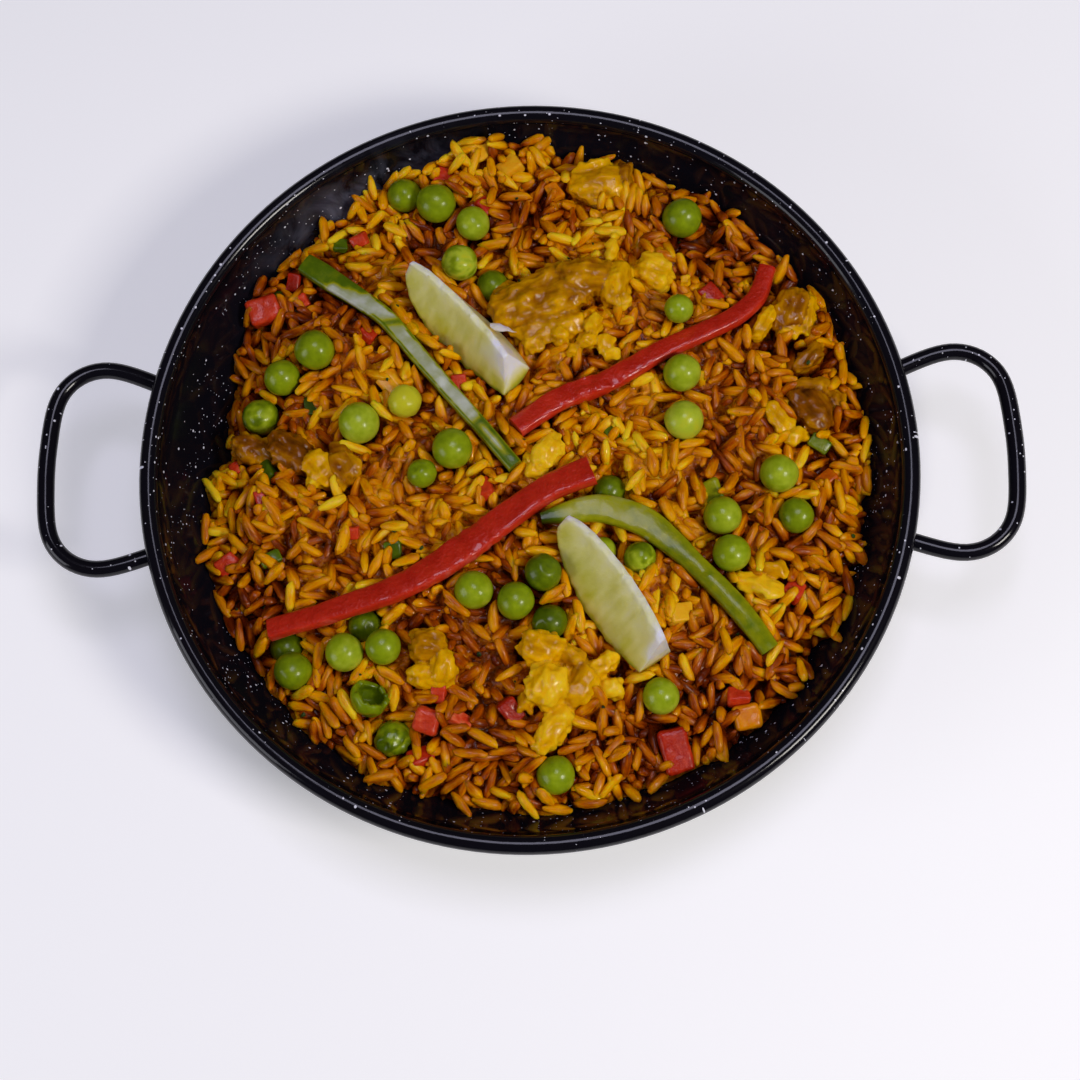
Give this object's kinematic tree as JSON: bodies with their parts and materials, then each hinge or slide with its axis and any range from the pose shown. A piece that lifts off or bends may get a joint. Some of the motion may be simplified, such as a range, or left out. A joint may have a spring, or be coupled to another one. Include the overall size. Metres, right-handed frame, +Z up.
{
  "type": "paella in its pan",
  "caption": "Saffron-yellow rice with peas, pepper strips, chicken pieces and lime wedges, in a black speckled enamel pan with two wire loop handles.",
  "frame": {"origin": "on the surface that the pan rests on, under the middle of the pan and of its two handles", "axes": "+X along the line through the two handles, +Y towards the far side of the pan, +Z up"},
  "size_m": [0.254, 0.1998, 0.044],
  "materials": {
    "black_enamel": "glossy black vitreous enamel with small white specks, on pressed steel",
    "saffron_rice": "moist cooked rice, saffron yellow to orange, glossy",
    "green_pea": "cooked green pea skin, smooth and glossy",
    "red_pepper": "cooked red pepper skin, wet and glossy",
    "green_pepper": "cooked green pepper, olive, satin to glossy",
    "lime_flesh": "cut lime flesh, pale yellow-green, moist",
    "cooked_chicken": "stewed chicken stained yellow, fibrous and moist",
    "cooked_carrot": "cooked carrot, orange, moist"
  },
  "bodies": {
    "root": {"carrot_cube": "cooked_carrot", "chicken_browned": "cooked_chicken", "chicken_clear": "cooked_chicken", "chicken_far": "cooked_chicken", "chicken_flaked": "cooked_chicken", "chicken_large": "cooked_chicken", "chicken_lobed": "cooked_chicken", "chicken_middle": "cooked_chicken", "chicken_right": "cooked_chicken", "chicken_round": "cooked_chicken", "chicken_small": "cooked_chicken", "green_strip_thin": "green_pepper", "green_strip_wide": "green_pepper", "handle_left": "black_enamel", "handle_right": "black_enamel", "lime_wedge_far": "lime_flesh", "lime_wedge_near": "lime_flesh", "pan": "black_enamel", "pea_01": "green_pea", "pea_02": "green_pea", "pea_03": "green_pea", "pea_04": "green_pea", "pea_05": "green_pea", "pea_06": "green_pea", "pea_07": "green_pea", "pea_08": "green_pea", "pea_09": "green_pea", "pea_10": "green_pea", "pea_11": "green_pea", "pea_12": "green_pea", "pea_13": "green_pea", "pea_14": "green_pea", "pea_15": "green_pea", "pea_16": "green_pea", "pea_17": "green_pea", "pea_18": "green_pea", "pea_19": "green_pea", "pea_20": "green_pea", "pea_21": "green_pea", "pea_22": "green_pea", "pea_23": "green_pea", "pea_24": "green_pea", "pea_25": "green_pea", "pea_26": "green_pea", "pea_27": "green_pea", "pea_28": "green_pea", "pea_29": "green_pea", "pea_30": "green_pea", "pea_31": "green_pea", "pea_32": "green_pea", "pea_33": "green_pea", "pea_34": "green_pea", "pea_35": "green_pea", "pea_36": "green_pea", "red_pepper_cube": "red_pepper", "red_pepper_piece_left": "red_pepper", "red_pepper_piece_near": "red_pepper", "red_strip_long": "red_pepper", "red_strip_short": "red_pepper", "rice": "saffron_rice"}
  },
  "joints": []
}
